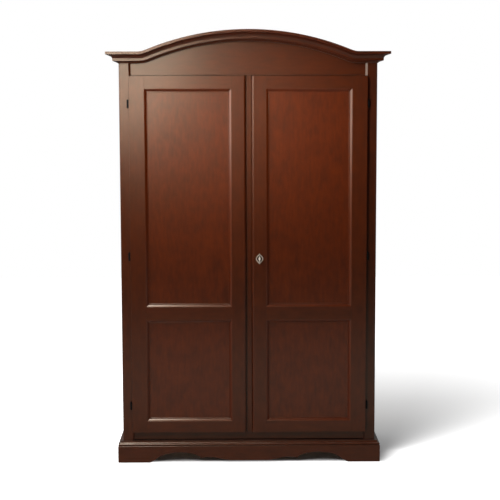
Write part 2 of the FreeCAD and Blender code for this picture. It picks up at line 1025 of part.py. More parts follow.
def moulding_section():
    """The section: how far in from the frame, and how far in front of the panel."""
    flat = (moulding_top_flat, panel_recess)
    slope_end = (moulding_top_flat + moulding_slope_width, moulding_slope_foot)
    bead_end = (slope_end[0] + moulding_bead_width, moulding_lip)
    return [
        (0, 0),
        (0, panel_recess),
        flat,
        (bow(flat, slope_end, slope_share), slope_end),
        (bow(slope_end, bead_end, bead_share), bead_end),
        (moulding_width, moulding_lip),
        (moulding_width, 0),
    ]


def mitred_strip(corner, along, inward, length):
    """A strip of panel moulding along one side of an opening, mitred at both ends."""
    outward = TO_BACK * -1
    face = outline_face(moulding_section(), lambda u, h: corner + inward * u + outward * h)
    run = face.extrude(along * length)
    w = moulding_width
    start = corner - outward * overrun
    plan = Part.makePolygon(
        [
            start,
            start + along * length,
            start + along * (length - w) + inward * w,
            start + along * w + inward * w,
            start,
        ]
    )
    return run.common(Part.Face(plan).extrude(outward * (panel_recess + 2 * overrun)))


def door_mouldings(side):
    """Eight mitred strips: four round each panel of a door."""
    x0, x1 = opening_x(side)
    strips = []
    for low, high in openings_z:
        wide = x1 - x0
        tall = high - low
        strips.append(mitred_strip(Vector(x0, y_panel, low), UP, TO_RIGHT, tall))
        strips.append(mitred_strip(Vector(x1, y_panel, low), UP, TO_RIGHT * -1, tall))
        strips.append(mitred_strip(Vector(x0, y_panel, low), TO_RIGHT, UP, wide))
        strips.append(mitred_strip(Vector(x0, y_panel, high), TO_RIGHT, UP * -1, wide))
    return Part.makeCompound(strips)


strip_right = right_meeting - strip_swing_gap
y_strip_back = y_door_back - strip_back_inset


def closing_strip():
    """The strip on the left door that closes the gap between the doors, with a quirk beside that door."""
    z0 = door_bottom + strip_end_inset
    z1 = door_top - strip_end_inset
    y0 = y_strip_back - strip_thickness
    strip = box(left_meeting, strip_right, y0, y_strip_back, z0, z1)
    x1 = left_meeting + strip_quirk_width
    return strip.cut(box(left_meeting, x1, y0, y0 + strip_quirk_depth, z0, z1))


# Bolts of the left door


def bolt_bar(end, direction):
    """A bolt and its knob. direction is 1 where it shoots up and -1 where it shoots down."""
    other = end - direction * bolt_length
    half = bolt_width / 2
    y1 = bolt_y + bolt_thickness
    bar = box(bolt_x - half, bolt_x + half, bolt_y, y1, min(end, other), max(end, other))
    middle = Vector(bolt_x, y1, (end + other) / 2 - direction * bolt_travel / 2)
    knob = Part.makeCylinder(bolt_knob_radius, bolt_knob_length, middle, TO_BACK)
    return bar.fuse(knob).removeSplitter()


def bolt_case(end, direction):
    """The plate on the door's back with two straps over the bolt."""
    other = end - direction * bolt_length
    low, high = sorted((end, other))
    half = case_plate_width / 2
    y0 = y_door_back
    plate = box(bolt_x - half, bolt_x + half, y0, y0 + case_plate_thickness, low, high)
    strap_half = bolt_width / 2 + case_strap_wall + sliding_gap
    y1 = bolt_y + bolt_thickness + sliding_gap + case_strap_wall
    inset = case_strap_height / 2
    straps = [
        box(bolt_x - strap_half, bolt_x + strap_half, y0, y1, z, z + case_strap_height)
        for z in (low + inset, high - inset - case_strap_height)
    ]
    case = plate.fuse(straps).removeSplitter()
    return case.cut(box(*bolt_slot(low - overrun, high + overrun)))


def bolt_cases():
    """The cases of both bolts."""
    return Part.makeCompound([bolt_case(top_bolt_end, 1), bolt_case(bottom_bolt_end, -1)])


def bolt_keepers():
    """The plates on the stops that the bolts pass through."""
    half = case_plate_width / 2
    slot = box(*bolt_slot(bottom_bolt_end - bolt_length, top_bolt_end + bolt_length))
    top = box(bolt_x - half, bolt_x + half, y_stop, y_frame, head_level - keeper_thickness, head_level)
    bottom = box(bolt_x - half, bolt_x + half, y_stop, y_frame, floor_level, floor_level + keeper_thickness)
    return Part.makeCompound([top.cut(slot), bottom.cut(slot)])


# Lock of the right door


def keyhole(y0, y1):
    """The hole for the key: round at the top with a slot below for the bit."""
    radius = key_radius + key_hole_gap
    eye = Part.makeCylinder(radius, y1 - y0, Vector(lock_x, y0, lock_level), TO_BACK)
    half = key_bit_thickness / 2 + key_hole_gap
    low = lock_level - key_bit_length - key_hole_gap
    return eye.fuse(box(lock_x - half, lock_x + half, y0, y1, low, lock_level))


def lock_bolt_corners():
    """Corners of the lock's bolt, drawn back."""
    return (
        lock_case_x,
        lock_case_x + lock_bolt_length,
        lock_bolt_y,
        lock_bolt_y + lock_bolt_thickness,
        lock_bolt_z,
        lock_bolt_z + lock_bolt_height,
    )


def lock_case():
    """The box on the door's back that holds the bolt and the key's bit."""
    x1 = lock_case_x + lock_case_width
    y1 = y_door_back + lock_case_depth
    outer = (lock_case_x, x1, y_door_back, y1, lock_case_z, lock_case_z + lock_case_height)
    case = box(*outer).cut(box(*grown(outer, -lock_case_wall)))
    case = case.cut(keyhole(y_door_back - overrun, y_door_back + lock_case_depth / 2))
    x0, _, b0, b1, c0, c1 = lock_bolt_corners()
    gap = sliding_gap
    mouth = box(x0 - overrun, x0 + overrun, b0 - gap, b1 + gap, c0 - gap, c1 + gap)
    return case.cut(mouth)


def lock_keeper():
    """The staple on the back of the closing strip that the lock's bolt enters."""
    _, _, b0, b1, c0, c1 = lock_bolt_corners()
    gap = sliding_gap
    wall = lock_keeper_wall
    x1 = strip_right - lock_keeper_edge_inset
    x0 = lock_case_x - lock_bolt_travel - lock_bolt_end_gap - wall
    block = box(x0, x1, y_strip_back, b1 + gap + wall, c0 - gap - wall, c1 + gap + wall)
    return block.cut(box(x0 + wall, x1 + overrun, b0 - gap, b1 + gap, c0 - gap, c1 + gap))


def key():
    """The key, standing in the lock with its bow upright."""
    y_plate = y_door - escutcheon_boss_height
    y_tip = y_door_back + lock_case_depth - lock_case_wall - key_sweep_gap
    y_collar = y_plate - key_sweep_gap - key_collar_length
    y_bow = y_collar - key_neck_length - key_bow_length / 2
    shank_start = Vector(lock_x, y_collar - key_neck_length - key_bow_wire / 2, lock_level)
    shank = Part.makeCylinder(key_radius, y_tip - shank_start.y, shank_start, TO_BACK)
    collar = Part.makeCylinder(
        key_collar_radius, key_collar_length, Vector(lock_x, y_collar, lock_level), TO_BACK
    )
    half = key_bit_thickness / 2
    bit = box(
        lock_x - half,
        lock_x + half,
        y_tip - key_bit_width,
        y_tip,
        lock_level - key_bit_length,
        lock_level,
    )
    bow_outer = oval(y_bow, key_bow_length / 2, key_bow_height / 2)
    bow_inner = oval(y_bow, key_bow_length / 2 - key_bow_wire, key_bow_height / 2 - key_bow_wire)
    ring = bow_outer.cut(bow_inner)
    return shank.fuse([collar, bit, ring]).removeSplitter()


def oval(y_middle, half_y, half_z):
    """An upright oval slab of the bow's thickness, in the plane of the key."""
    start = (y_middle - half_y, lock_level)
    end = (y_middle + half_y, lock_level)
    steps = [
        start,
        ((y_middle, lock_level + half_z), end),
        ((y_middle, lock_level - half_z), start),
    ]
    face = outline_face(steps, lambda y, z: Vector(lock_x - key_bow_thickness / 2, y, z))
    return face.extrude(TO_RIGHT * key_bow_thickness)


def lozenge(width, height, y0, y1):
    """A diamond with drawn-out tips and swelling sides."""
    top = (0, height / 2)
    side = (width / 2, 0)
    waist = (side[0] * escutcheon_waist_shares[0], top[1] * escutcheon_waist_shares[1])
    hollow = escutcheon_tip_hollow_share
    bulge = escutcheon_side_bulge_share
    quarter = [top, waist, side]

    def turned(point, sx, sz):
        return (sx * point[0], sz * point[1])

    steps = [top]
    for sx, sz in ((1, 1), (1, -1), (-1, -1), (-1, 1)):
        corners = [turned(p, sx, sz) for p in quarter]
        shares = [hollow, bulge]
        if sx * sz < 0:
            corners.reverse()
            shares.reverse()
        for start, end, share in zip(corners, corners[1:], shares):
            steps.append((bow(start, end, share), end))
    face = outline_face(steps, lambda x, z: Vector(lock_x + x, y0, lock_level + z))
    return face.extrude(TO_BACK * (y1 - y0))


def escutcheon():
    """The plate round the keyhole: a raised rim, a sunk field and a round boss."""
    rim = lozenge(escutcheon_width, escutcheon_height, y_door - escutcheon_rim_height, y_door)
    field = lozenge(
        escutcheon_width - 2 * escutcheon_rim_width,
        escutcheon_height - 2 * escutcheon_rim_width * escutcheon_height / escutcheon_width,
        y_door - escutcheon_rim_height - overrun,
        y_door - escutcheon_field_thickness,
    )
    boss_start = Vector(lock_x, y_door - escutcheon_boss_height, lock_level)
    boss = Part.makeCylinder(escutcheon_boss_radius, escutcheon_boss_height, boss_start, TO_BACK)
    plate = rim.cut(field).fuse(boss).removeSplitter()
    return plate.cut(keyhole(y_door - escutcheon_boss_height - overrun, y_door + overrun))


def build():
    """Every node by its name."""
    nodes = {
        "post_front_right": front_post(),
        "post_rear_right": rear_post(),
        "side_panels_right": side_panels(),
        "cornice_return_right": cornice_return(),
        "plinth_return_right": plinth_return(),
    }
    for name in side_rails_z:
        nodes[f"side_{name}_rail_right"] = side_rail(name)
    for name in list(nodes):
        nodes[name.replace("right", "left")] = mirrored(nodes[name])
    nodes.update(
        {
            "frieze_board": frieze_board(),
            "bottom_rail_front": bottom_rail(),
            "cornice_front": cornice_front(),
            "cornice_back": cornice_back(),
            "plinth_front": plinth_front(),
            "glue_blocks": glue_blocks(),
            "top_board": top_board(),
            "floor_board": floor_board(),
            "back_rail_bottom": back_rail(0),
            "back_rail_top": back_rail(1),
            "back_muntin": back_muntin(),
            "back_panels": back_panels(),
            "hat_shelf": hat_shelf(),
            "shelf_cleats": shelf_cleats(),
            "hanging_rail": hanging_rail(),
            "hanging_rail_sockets": rail_sockets(),
            "hinge_post_halves": hinge_post_halves(),
            "bolt_keepers": bolt_keepers(),
        }
    )
    for side, door in ((-1, "left_door"), (1, "right_door")):
        nodes[f"{door}_hinge_stile"] = hinge_stile(side)
        nodes[f"{door}_meeting_stile"] = meeting_stile(side)
        for name in door_rails_z:
            nodes[f"{door}_{name}_rail"] = door_rail(side, name)
        nodes[f"{door}_panels"] = door_panels(side)
        nodes[f"{door}_mouldings"] = door_mouldings(side)
        nodes[f"{door}_hinge_halves"] = hinge_door_halves(side)
    nodes.update(
        {
            "closing_strip": closing_strip(),
            "top_bolt": bolt_bar(top_bolt_end, 1),
            "bottom_bolt": bolt_bar(bottom_bolt_end, -1),
            "bolt_cases": bolt_cases(),
            "lock_keeper": lock_keeper(),
            "lock_case": lock_case(),
            "lock_bolt": box(*lock_bolt_corners()),
            "escutcheon": escutcheon(),
            "key": key(),
        }
    )
    return nodes


os.makedirs("parts", exist_ok=True)
whole = FreeCAD.BoundBox()
for node, shape in build().items():
    shape.exportStep(f"parts/{node}.step")
    whole.add(shape.optimalBoundingBox())
    volume = sum(solid.Volume for solid in shape.Solids)
    print(f"{node}: {len(shape.Solids)} solids, valid {shape.isValid()}, {volume:.0f} mm3")
print(f"arch radius {arch_radius:.1f}, size {whole.XLength:.1f} x {whole.YLength:.1f} x {whole.ZLength:.1f}")
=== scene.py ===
# %% [markdown]
# # Dressing an arched two-door wardrobe
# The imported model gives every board, bolt and hinge at its real size and place. This lesson
# keeps those solids, stains and lacquers them, adds the small trim that a joiner would add
# last, and sets them on a white floor under soft lamps. Everything is in metres.

# %% Load the frame
import json
from math import asin, cos, pi, radians, sin

import bmesh
import bpy
from mathutils import Matrix, Vector


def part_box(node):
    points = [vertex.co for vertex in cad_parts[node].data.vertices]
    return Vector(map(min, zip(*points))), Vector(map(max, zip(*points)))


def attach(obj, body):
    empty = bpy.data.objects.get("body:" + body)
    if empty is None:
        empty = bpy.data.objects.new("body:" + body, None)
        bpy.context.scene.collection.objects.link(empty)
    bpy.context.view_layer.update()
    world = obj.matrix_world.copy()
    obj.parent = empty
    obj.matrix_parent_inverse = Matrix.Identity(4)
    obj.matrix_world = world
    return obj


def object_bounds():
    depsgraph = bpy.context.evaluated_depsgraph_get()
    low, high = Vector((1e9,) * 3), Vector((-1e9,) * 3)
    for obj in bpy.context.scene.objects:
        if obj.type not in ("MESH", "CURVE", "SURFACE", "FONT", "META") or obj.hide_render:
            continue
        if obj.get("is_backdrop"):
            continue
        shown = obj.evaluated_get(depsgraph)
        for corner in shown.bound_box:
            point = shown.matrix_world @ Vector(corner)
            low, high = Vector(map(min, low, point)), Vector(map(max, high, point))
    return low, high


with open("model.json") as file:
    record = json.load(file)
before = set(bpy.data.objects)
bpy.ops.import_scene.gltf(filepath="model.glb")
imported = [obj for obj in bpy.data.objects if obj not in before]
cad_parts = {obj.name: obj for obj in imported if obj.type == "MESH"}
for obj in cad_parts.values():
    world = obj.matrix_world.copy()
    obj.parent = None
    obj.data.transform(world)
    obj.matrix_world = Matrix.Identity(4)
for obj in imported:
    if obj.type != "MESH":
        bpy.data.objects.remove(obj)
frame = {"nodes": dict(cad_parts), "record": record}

cad_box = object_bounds()
nodes = frame["nodes"]
scene = bpy.context.scene
print("nodes", len(nodes), "box", cad_box)

# %% [markdown]
# ## The camera
# The wardrobe is seen almost square on, from a little above the middle of its doors, with a
# long lens, so its sides stay hidden and its uprights lean inwards by only a few pixels.
# The camera is built from three turns, one after the other, so that each can be corrected
# on its own: look down, look to the right, tilt.

# %% Set up the camera
camera_place = Vector((-0.0641, -6.7184, 1.7704))
look_down = radians(6.141)
look_right = radians(0.63)
tilt = radians(-0.134)
focal_length = 94.1
film_width = 36.0

lens = bpy.data.cameras.new("studio_camera")
lens.lens = focal_length
lens.sensor_width = film_width
camera = bpy.data.objects.new("studio_camera", lens)
scene.collection.objects.link(camera)
camera.matrix_world = (
    Matrix.Translation(camera_place)
    @ Matrix.Rotation(-look_right, 4, "Z")
    @ Matrix.Rotation(pi / 2 - look_down, 4, "X")
    @ Matrix.Rotation(tilt, 4, "Z")
)
scene.camera = camera
scene.view_settings.view_transform = "Standard"
print("camera at", tuple(camera_place))

# %% [markdown]
# ## Small helpers for shader nodes
# A material is a chain of nodes. Making each node takes three lines, which hide what the
# chain does, so these helpers make a node, set it, and join its inputs in one go. An input
# may be a plain number or the output of another node.

# %% Node helpers


def add(tree, kind, **settings):
    """A new node with its settings."""
    node = tree.nodes.new(kind)
    for name, value in settings.items():
        setattr(node, name, value)
    return node


def fill(tree, socket, value):
    """Joins an input to another node's output, or sets it to a plain value."""
    if isinstance(value, bpy.types.NodeSocket):
        tree.links.new(value, socket)
    else:
        socket.default_value = value


def feed(tree, node, **inputs):
    """Fills a node's inputs by name, with _ for a space."""
    for name, value in inputs.items():
        fill(tree, node.inputs[name.replace("_", " ")], value)
    return node


def calc(tree, operation, *values, clamp=False):
    """The result of a Math node."""
    node = add(tree, "ShaderNodeMath", operation=operation, use_clamp=clamp)
    for socket, value in zip(node.inputs, values):
        fill(tree, socket, value)
    return node.outputs[0]


def calc_vector(tree, operation, *values):
    """The result of a Vector Math node."""
    node = add(tree, "ShaderNodeVectorMath", operation=operation)
    for socket, value in zip(node.inputs, values):
        fill(tree, socket, value)
    return node.outputs["Value"] if operation in ("DOT_PRODUCT", "LENGTH") else node.outputs[0]


def cloud(tree, place, scale, detail=3.0, roughness=0.55):
    """Noise between 0 and 1 with patches of about 1 / scale metres."""
    node = add(tree, "ShaderNodeTexNoise")
    feed(tree, node, Vector=place, Scale=scale, Detail=detail, Roughness=roughness)
    return node.outputs["Fac"]


def ramped(tree, value, low, high, out_low=0.0, out_high=1.0, smooth=True):
    """A value spread from one range to another, and held at its ends."""
    node = add(tree, "ShaderNodeMapRange", interpolation_type="SMOOTHSTEP" if smooth else "LINEAR")
    feed(tree, node, Value=value, From_Min=low, From_Max=high, To_Min=out_low, To_Max=out_high)
    return node.outputs[0]


MIX_SOCKETS = {"VECTOR": ((0, 4, 5), 1), "RGBA": ((0, 6, 7), 2)}


def blended(tree, share, first, second, kind="RGBA"):
    """Two colours, or two places, mixed by a share. A Mix node's sockets go by number."""
    inputs, output = MIX_SOCKETS[kind]
    node = add(tree, "ShaderNodeMix", data_type=kind)
    for index, value in zip(inputs, (share, first, second)):
        fill(tree, node.inputs[index], value)
    return node.outputs[output]


def new_group(name, inputs, outputs):
    """An empty node group, its input node and its output node."""
    tree = bpy.data.node_groups.new(name, "ShaderNodeTree")
    for label, kind, value in inputs:
        socket = tree.interface.new_socket(label, in_out="INPUT", socket_type=kind)
        if value is not None:
            socket.default_value = value
    for label, kind in outputs:
        tree.interface.new_socket(label, in_out="OUTPUT", socket_type=kind)
    return tree, add(tree, "NodeGroupInput"), add(tree, "NodeGroupOutput")


def use_group(tree, group, **inputs):
    """A node group placed in a material."""
    node = add(tree, "ShaderNodeGroup", node_tree=group)
    return feed(tree, node, **inputs)


print("helpers ready")

# %% [markdown]
# ## Grain
# Under the stain the wood is a close-grained hardwood. What shows is a soft mottle with
# short streaks over a cloudy figure, faint growth lines, fine fibres and short dark pores.
# All are noise that is stretched along the board, and the growth lines are the contour
# lines of one broad noise, as they are on a sawn board. The tone stays near its middle, so
# the stain varies gently. The group takes a place in metres with the grain along Z, so one
# group serves uprights, rails and mouldings.

# %% Build the grain group
VALUE = "NodeSocketFloat"
VECTOR = "NodeSocketVector"

grain, given, result = new_group(
    "wood_grain",
    [
        ("Place", VECTOR, None),
        ("Mottle", VALUE, 0.3),
        ("Figure", VALUE, 0.3),
        ("Rings", VALUE, 0.1),
    ],
    [("Tone", VALUE), ("Pores", VALUE), ("Relief", VALUE)],
)


def stretched(tree, place, share):
    """A place whose noise is drawn out along the grain: a small share makes long streaks."""
    return calc_vector(tree, "MULTIPLY", place, (1.0, 1.0, share))


def around(tree, value, strength):
    """How far a value is from its middle, times a strength."""
    return calc(tree, "MULTIPLY", calc(tree, "SUBTRACT", value, 0.5), strength)


STREAK_SHARE = 0.9
FIBRE_SHARE = 0.22
MOTTLE_MIDDLE = 0.5 + 0.5 * STREAK_SHARE
drift = add(grain, "ShaderNodeTexNoise")
feed(grain, drift, Vector=stretched(grain, given.outputs["Place"], 0.3), Scale=3.0, Detail=2.0)
sway = calc_vector(grain, "SUBTRACT", drift.outputs["Color"], (0.5, 0.5, 0.5))
sway = calc_vector(grain, "MULTIPLY", sway, (0.06, 0.06, 0.0))
bent = calc_vector(grain, "ADD", given.outputs["Place"], sway)
streak = cloud(grain, stretched(grain, bent, 0.18), scale=85.0, detail=2.0, roughness=0.5)
mottle = cloud(grain, stretched(grain, bent, 0.55), scale=38.0, detail=3.0, roughness=0.55)
figure = cloud(grain, stretched(grain, bent, 0.8), scale=13.0, detail=3.0, roughness=0.5)
fibre = cloud(grain, stretched(grain, bent, 0.04), scale=300.0, detail=3.0, roughness=0.6)
contour = cloud(grain, stretched(grain, bent, 0.10), scale=5.0, detail=1.0, roughness=0.4)
rings = calc(grain, "SINE", calc(grain, "MULTIPLY", contour, 130.0))
soft = calc(grain, "ADD", mottle, calc(grain, "MULTIPLY", streak, STREAK_SHARE))
tone = calc(grain, "SUBTRACT", soft, MOTTLE_MIDDLE)
tone = calc(grain, "MULTIPLY", tone, given.outputs["Mottle"])
tone = calc(grain, "ADD", tone, around(grain, figure, given.outputs["Figure"]))
tone = calc(grain, "ADD", tone, calc(grain, "MULTIPLY", rings, given.outputs["Rings"]))
tone = calc(grain, "ADD", tone, around(grain, fibre, FIBRE_SHARE))
pore_lines = cloud(grain, stretched(grain, bent, 0.03), scale=1300.0, detail=2.0, roughness=0.5)
pores = ramped(grain, pore_lines, 0.58, 0.72)
relief = calc(grain, "SUBTRACT", calc(grain, "MULTIPLY", fibre, 0.5), pores)
feed(grain, result, Tone=calc(grain, "ADD", tone, 0.5), Pores=pores, Relief=relief)
print("group", grain.name)

# %% [markdown]
# ## Edges, corners and dust
# Edges are lighter where the lacquer is worn thin, except on the frame boards, whose edges
# are darkened and made matt as painted shade for the joint lines. Corners are darkened,
# which is painted shade on the wood and tarnish on the metal. Both depend on the shape: the
# Bevel node bends the normal near an edge, so comparing it with the true normal finds
# edges, and Ambient Occlusion finds corners. Dust settles on what faces up.

# %% Build the edge, corner and dust groups
# Painted shade: on the frame boards this edge mask darkens the edges; elsewhere it marks wear.
edges, given, result = new_group(
    "edge_wear_and_shade", [("Place", VECTOR, None), ("Width", VALUE, 0.0015)], [("Edges", VALUE)]
)
bent_normal = add(edges, "ShaderNodeBevel", samples=4)
feed(edges, bent_normal, Radius=given.outputs["Width"])
true_normal = add(edges, "ShaderNodeNewGeometry")
match = calc_vector(edges, "DOT_PRODUCT", bent_normal.outputs[0], true_normal.outputs["Normal"])
near_edge = ramped(edges, match, 0.995, 0.85)
patches = cloud(edges, given.outputs["Place"], scale=34.0, detail=4.0)
patchy = ramped(edges, patches, 0.35, 0.65, out_low=0.25)
feed(edges, result, Edges=calc(edges, "MULTIPLY", near_edge, patchy))

# Painted shade: wood is darkened where Ambient Occlusion finds a corner; metal uses the same mask
# for tarnish.
corners, given, result = new_group(
    "corner_shade_and_tarnish", [("Place", VECTOR, None), ("Reach", VALUE, 0.02)], [("Corners", VALUE)]
)
shade = add(corners, "ShaderNodeAmbientOcclusion", samples=6, only_local=False)
feed(corners, shade, Distance=given.outputs["Reach"])
hidden = ramped(corners, shade.outputs["AO"], 0.85, 0.35)
patches = cloud(corners, given.outputs["Place"], scale=20.0, detail=3.0)
uneven = ramped(corners, patches, 0.2, 0.8, out_low=0.6)
feed(corners, result, Corners=calc(corners, "MULTIPLY", hidden, uneven))

dust, given, result = new_group("settled_dust", [("Place", VECTOR, None)], [("Dust", VALUE)])
facing = add(dust, "ShaderNodeNewGeometry")
upward = add(dust, "ShaderNodeSeparateXYZ")
feed(dust, upward, Vector=facing.outputs["Normal"])
flat = ramped(dust, upward.outputs["Z"], 0.7, 0.98)
patches = cloud(dust, given.outputs["Place"], scale=9.0, detail=5.0, roughness=0.65)
drifts = ramped(dust, patches, 0.3, 0.75, out_low=0.2)
feed(dust, result, Dust=calc(dust, "MULTIPLY", flat, drifts))
print("groups", edges.name, corners.name, dust.name)

# %% [markdown]
# ## Which way the grain runs
# Uprights have their grain along Z, rails along X and side rails along Y, so the place is
# turned before it goes into the grain group. A mitred moulding changes direction at its
# mitre: a point belongs to an upright strip when it is nearer to an upright edge of the
# opening than to a level one, which is exactly where the mitre line runs.

# %% Build the turning groups
TURNS = {"X": ("Z", "Y", "X"), "Y": ("X", "Z", "Y"), "Z": ("X", "Y", "Z")}


def turned(tree, place, along):
    """A place turned so that the grain runs along Z."""
    parts = add(tree, "ShaderNodeSeparateXYZ")
    feed(tree, parts, Vector=place)
    whole = add(tree, "ShaderNodeCombineXYZ")
    for target, source in zip("XYZ", TURNS[along]):
        tree.links.new(parts.outputs[source], whole.inputs[target])
    return whole.outputs[0]


def nearest(tree, value, levels):
    """The distance to the nearest of some levels."""
    best = None
    for level in levels:
        gap = calc(tree, "ABSOLUTE", calc(tree, "SUBTRACT", value, level))
        best = gap if best is None else calc(tree, "MINIMUM", best, gap)
    return best


def mitred_group(name, across, sides, levels):
    """A group that turns the place on the level strips of mitred frames."""
    tree, given, result = new_group(name, [("Place", VECTOR, None)], [("Place", VECTOR)])
    place = given.outputs["Place"]
    parts = add(tree, "ShaderNodeSeparateXYZ")
    feed(tree, parts, Vector=place)
    to_side = nearest(tree, parts.outputs[across], sides)
    to_level = nearest(tree, parts.outputs["Z"], levels)
    level_strip = calc(tree, "GREATER_THAN", to_side, to_level)
    board = blended(tree, level_strip, place, turned(tree, place, across), kind="VECTOR")
    feed(tree, result, Place=board)
    return tree


door_openings = {}
for side in ("left", "right"):
    moulding_low, moulding_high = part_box(f"{side}_door_mouldings")
    lower_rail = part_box(f"{side}_door_middle_rail")
    levels = (moulding_low[2], lower_rail[0][2], lower_rail[1][2], moulding_high[2])
    door_openings[side] = ((moulding_low[0], moulding_high[0]), levels)
    print(side, "door openings", door_openings[side])
mitre_groups = {
    side: mitred_group(f"{side}_door_mitres", "X", *door_openings[side]) for side in door_openings
}
side_levels = (
    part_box("side_bottom_rail_right")[1][2],
    *(corner[2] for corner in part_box("side_middle_rail_right")),
    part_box("side_top_rail_right")[0][2],
)
side_edges = (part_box("post_front_right")[1][1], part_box("post_rear_right")[0][1])
mitre_groups["ends"] = mitred_group("side_frame_mitres", "Y", side_edges, side_levels)
print("side openings", side_edges, side_levels)

# %% [markdown]
# ## The stained and lacquered wood
# The colour is a deep red-brown stain that takes unevenly, under a satin lacquer. The
# stain is a colour ramp driven by the grain. The lacquer is the shader's coat: a thin
# smooth layer over a slightly rougher one, which gives the soft wide sheen on the upper
# doors. The frame boards have dark, matt edges, which are painted shade for the joint
# lines, every board is darkened in its corners as painted shade, and the mouldings are
# lighter on their worn edges. Each board reads two numbers from its own object, so
# neighbours never share a grain.

# %% Wood material maker
SHIFT_STEPS = (7.31, 3.17, 11.73)
PORE_SHARE = 0.55
CORNER_REACH = 0.016
DUST_ROUGH = 0.3
SHADED_EDGE_ROUGH = 0.6
LACQUER_ROUGH = 0.2


def colour(red, green, blue):
    """A colour with full alpha."""
    return (red, green, blue, 1.0)


def ramp_of(tree, value, stops):
    """A colour ramp through stops of (position, colour)."""
    node = add(tree, "ShaderNodeValToRGB")
    while len(node.color_ramp.elements) < len(stops):
        node.color_ramp.elements.new(0.5)
    for element, (position, shade) in zip(node.color_ramp.elements, stops):
        element.position = position
        element.color = shade
    tree.links.new(value, node.inputs[0])
    return node.outputs[0]


def wood_finish(
    name,
    along,
    stops,
    mottle,
    figure,
    rings,
    pore_and_shade_colour,
    rough,
    coat,
    dusty=0.12,
    edge_colour=None,
    edge_width=0.0015,
    worn=0.25,
    corner_shade=0.55,
    shine=0.7,
):
    """A stained board. along is X, Y or Z, or a mitre group.

    Edges are lightened to the lightest stain, or, with an edge colour, darkened and made matt,
    which is painted shade. Corners are darkened towards the pore colour, which is painted shade.
    """
    material = bpy.data.materials.new(name)
    material.use_nodes = True
    tree = material.node_tree
    tree.nodes.clear()
    where = add(tree, "ShaderNodeTexCoord").outputs["Object"]
    if isinstance(along, str):
        board = turned(tree, where, along)
    else:
        board = use_group(tree, along, Place=where).outputs[0]
    own = add(tree, "ShaderNodeAttribute", attribute_type="OBJECT", attribute_name="grain_shift")
    board = calc_vector(
        tree, "ADD", board, calc_vector(tree, "MULTIPLY", own.outputs["Vector"], SHIFT_STEPS)
    )
    depth = add(tree, "ShaderNodeAttribute", attribute_type="OBJECT", attribute_name="stain_and_shade_depth")
    wood = use_group(tree, grain, Place=board, Mottle=mottle, Figure=figure, Rings=rings)
    tone = calc(tree, "ADD", wood.outputs["Tone"], depth.outputs["Fac"], clamp=True)
    stain = ramp_of(tree, tone, stops)
    pores = calc(tree, "MULTIPLY", wood.outputs["Pores"], PORE_SHARE)
    stain = blended(tree, pores, stain, pore_and_shade_colour)
    edge = use_group(tree, edges, Place=where, Width=edge_width).outputs[0]
    corner = use_group(tree, corners, Place=where, Reach=CORNER_REACH).outputs[0]
    dirt = use_group(tree, dust, Place=where).outputs[0]
    # Painted shade: corners darkened towards the pore colour.
    stain = blended(tree, calc(tree, "MULTIPLY", corner, corner_shade), stain, pore_and_shade_colour)
    # Painted shade on the frame boards: edges darkened to the edge colour and made matt.
    edge_wear_and_shade_mask = calc(tree, "MULTIPLY", edge, worn)
    stain = blended(tree, edge_wear_and_shade_mask, stain, edge_colour or stops[-1][1])
    stain = blended(tree, calc(tree, "MULTIPLY", dirt, dusty), stain, DUST_COLOUR)
    gloss = calc(tree, "ADD", calc(tree, "MULTIPLY", dirt, DUST_ROUGH), rough)
    if edge_colour:
        gloss = calc(tree, "ADD", gloss, calc(tree, "MULTIPLY", edge_wear_and_shade_mask, SHADED_EDGE_ROUGH))
        coat = calc(tree, "MULTIPLY", calc(tree, "SUBTRACT", 1.0, edge_wear_and_shade_mask), coat)
    bump = add(tree, "ShaderNodeBump")
    feed(tree, bump, Strength=0.12, Distance=0.0002, Height=wood.outputs["Relief"])
    shader = add(tree, "ShaderNodeBsdfPrincipled")
    feed(tree, shader, Base_Color=stain, Roughness=gloss, Normal=bump.outputs[0])
    feed(tree, shader, Coat_Weight=coat, Coat_Roughness=LACQUER_ROUGH)
    feed(tree, shader, Specular_IOR_Level=shine, Specular_Tint=WARM_GLOSS)
    output = add(tree, "ShaderNodeOutputMaterial")
    tree.links.new(shader.outputs[0], output.inputs[0])
    return material


print("wood maker ready")

# %% [markdown]
# The panels and mouldings have the frames' stain a little lighter, as finer wood takes it.
# The inside is plain waxed wood with more figure. Each stain is three colours: where the
# grain is dense, at its middle, and where it is open. The gloss is slightly warm.

# %% Stain the wood
red_brown = [
    (0.10, colour(0.0280, 0.0034, 0.0001)),
    (0.50, colour(0.0510, 0.0066, 0.0003)),
    (0.90, colour(0.0740, 0.0108, 0.0006)),
]
panel_brown = [
    (0.10, colour(0.0360, 0.0038, 0.0001)),
    (0.50, colour(0.0650, 0.0075, 0.0001)),
    (0.90, colour(0.0940, 0.0122, 0.0004)),
]
plain_brown = [
    (0.10, colour(0.200, 0.105, 0.048)),
    (0.50, colour(0.370, 0.220, 0.110)),
    (0.90, colour(0.520, 0.345, 0.190)),
]
WARM_GLOSS = colour(1.0, 0.77, 0.50)
DUST_COLOUR = colour(0.42, 0.38, 0.33)
# The pore colours are also the painted shade in corners, and the dark one along the frame edges.
DARK_PORE_AND_SHADE = colour(0.016, 0.0035, 0.0014)
BROWN_PORE_AND_SHADE = colour(0.110, 0.055, 0.026)

STAINED = dict(rings=0.02, pore_and_shade_colour=DARK_PORE_AND_SHADE, rough=0.28, coat=0.6)
